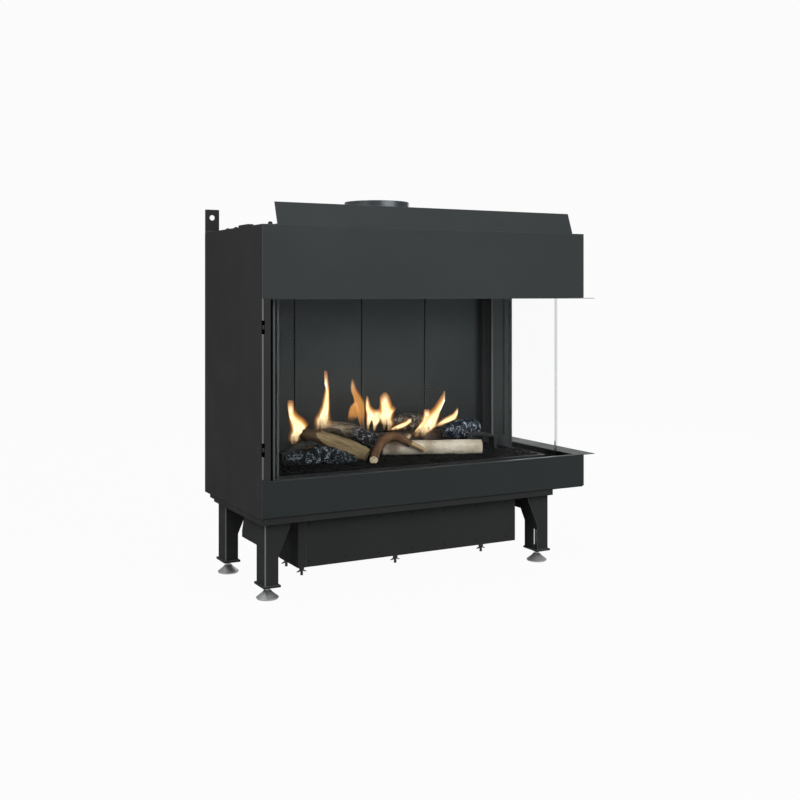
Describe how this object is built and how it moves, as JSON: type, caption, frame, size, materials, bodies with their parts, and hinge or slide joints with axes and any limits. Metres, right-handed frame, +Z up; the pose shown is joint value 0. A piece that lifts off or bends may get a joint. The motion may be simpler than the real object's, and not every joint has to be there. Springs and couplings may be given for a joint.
{
  "type": "gas fireplace",
  "caption": "Corner gas fireplace insert with glass at the front and right, a ceramic log fire on a grille, levelling legs, a control box below and a concentric flue collar.",
  "frame": {"origin": "on the floor, under the middle of the part's box", "axes": "+X to the right seen from the front, +Y to the back, +Z up"},
  "size_m": [0.853, 0.37, 0.8485],
  "materials": {
    "casing_paint": "matt anthracite powder coat",
    "side_paint": "matt black powder coat",
    "base_paint": "matt black powder coat",
    "liner_paint": "matt heat-proof paint",
    "firebox_paint": "matt black heat-proof paint",
    "glass": "clear heat-proof glass",
    "zinc_steel": "zinc-plated, turned",
    "flue_steel": "dark grey heat-proof paint",
    "burner_steel": "heat-darkened steel",
    "valve_alloy": "die-cast, satin",
    "knob_plastic": "matt black",
    "birch_ceramic": "matt ceramic fibre painted as birch bark",
    "bark_ceramic": "matt ceramic fibre painted as bark and split wood",
    "charred_ceramic": "matt ceramic fibre painted as charred wood",
    "charcoal_ceramic": "cracked, glossy blue-black flakes",
    "grey_ceramic": "matt ceramic fibre painted as ash-grey charcoal",
    "flame": "glowing gas flame"
  },
  "bodies": {
    "root": {"left_side_panel": "side_paint", "back_panel": "side_paint", "top_panel": "side_paint", "header": "casing_paint", "header_flap": "casing_paint", "soffit_plate": "casing_paint", "hearth_plate": "casing_paint", "lower_panel": "casing_paint", "base_frame": "base_paint", "leg_front_left": "base_paint", "leg_front_right": "base_paint", "leg_rear_left": "base_paint", "leg_rear_right": "base_paint", "firebox_wall": "firebox_paint", "firebox_floor": "firebox_paint", "firebox_hood": "firebox_paint", "back_liner_1": "liner_paint", "back_liner_2": "liner_paint", "back_liner_3": "liner_paint", "back_liner_4": "liner_paint", "left_liner": "liner_paint", "side_glass": "glass", "left_glass_channel": "base_paint", "front_glass_rail": "firebox_paint", "side_glass_rail": "firebox_paint", "rear_right_post": "liner_paint", "floor_grille": "firebox_paint", "burner": "burner_steel", "pilot_assembly": "burner_steel", "andiron_left": "firebox_paint", "andiron_right": "firebox_paint", "birch_log": "birch_ceramic", "rear_log": "bark_ceramic", "charcoal_front": "charcoal_ceramic", "split_log": "bark_ceramic", "charred_log": "charred_ceramic", "branch": "bark_ceramic", "charcoal_right": "charcoal_ceramic", "grey_log": "grey_ceramic", "flue_outer": "flue_steel", "flue_inner": "flue_steel", "wall_bracket_left": "side_paint", "wall_bracket_right": "side_paint", "control_box_shell": "base_paint", "control_box_front": "base_paint", "control_box_cover": "base_paint", "gas_valve": "valve_alloy"},
    "front_pane": {"front_glass": "glass"},
    "relief": {"relief_lid": "burner_steel"},
    "upper_latch": {"latch_upper": "base_paint"},
    "lower_latch": {"latch_lower": "base_paint"},
    "foot_fl": {"levelling_foot_front_left": "zinc_steel"},
    "foot_fr": {"levelling_foot_front_right": "zinc_steel"},
    "foot_rl": {"levelling_foot_rear_left": "zinc_steel"},
    "foot_rr": {"levelling_foot_rear_right": "zinc_steel"},
    "knob": {"valve_knob": "knob_plastic"},
    "screw_1": {"wing_screw_1": "zinc_steel"},
    "screw_2": {"wing_screw_2": "zinc_steel"},
    "screw_3": {"wing_screw_3": "zinc_steel"},
    "screw_4": {"wing_screw_4": "zinc_steel"}
  },
  "joints": [
    {"name": "front_glass_lift", "type": "slide", "parent": "root", "child": "front_pane", "axis": [0, 0, 1], "range_m": [0, 0.012]},
    {"name": "relief_lid_hinge", "type": "hinge", "parent": "root", "child": "relief", "pos_m": [0.131, 0.045, 0.708], "axis": [-1, 0, 0], "range_deg": [0, 25]},
    {"name": "upper_latch_turn", "type": "hinge", "parent": "root", "child": "upper_latch", "pos_m": [-0.4235, -0.161, 0.566], "axis": [1, 0, 0], "range_deg": [0, 60]},
    {"name": "lower_latch_turn", "type": "hinge", "parent": "root", "child": "lower_latch", "pos_m": [-0.4235, -0.161, 0.315], "axis": [1, 0, 0], "range_deg": [0, 60]},
    {"name": "foot_fl_travel", "type": "slide", "parent": "root", "child": "foot_fl", "axis": [0, 0, 1], "range_m": [-0.03, 0]},
    {"name": "foot_fr_travel", "type": "slide", "parent": "root", "child": "foot_fr", "axis": [0, 0, 1], "range_m": [-0.03, 0]},
    {"name": "foot_rl_travel", "type": "slide", "parent": "root", "child": "foot_rl", "axis": [0, 0, 1], "range_m": [-0.03, 0]},
    {"name": "foot_rr_travel", "type": "slide", "parent": "root", "child": "foot_rr", "axis": [0, 0, 1], "range_m": [-0.03, 0]},
    {"name": "knob_turn", "type": "hinge", "parent": "root", "child": "knob", "pos_m": [0.0135, -0.05, 0.0888], "axis": [0, -1, 0], "range_deg": [0, 90]},
    {"name": "screw_1_turn", "type": "hinge", "parent": "root", "child": "screw_1", "pos_m": [-0.3205, -0.14, 0.05], "axis": [0, 0, 1], "continuous": true},
    {"name": "screw_2_turn", "type": "hinge", "parent": "root", "child": "screw_2", "pos_m": [-0.0955, -0.14, 0.05], "axis": [0, 0, 1], "continuous": true},
    {"name": "screw_3_turn", "type": "hinge", "parent": "root", "child": "screw_3", "pos_m": [0.1295, -0.14, 0.05], "axis": [0, 0, 1], "continuous": true},
    {"name": "screw_4_turn", "type": "hinge", "parent": "root", "child": "screw_4", "pos_m": [-0.3205, -0.055, 0.05], "axis": [0, 0, 1], "continuous": true}
  ]
}
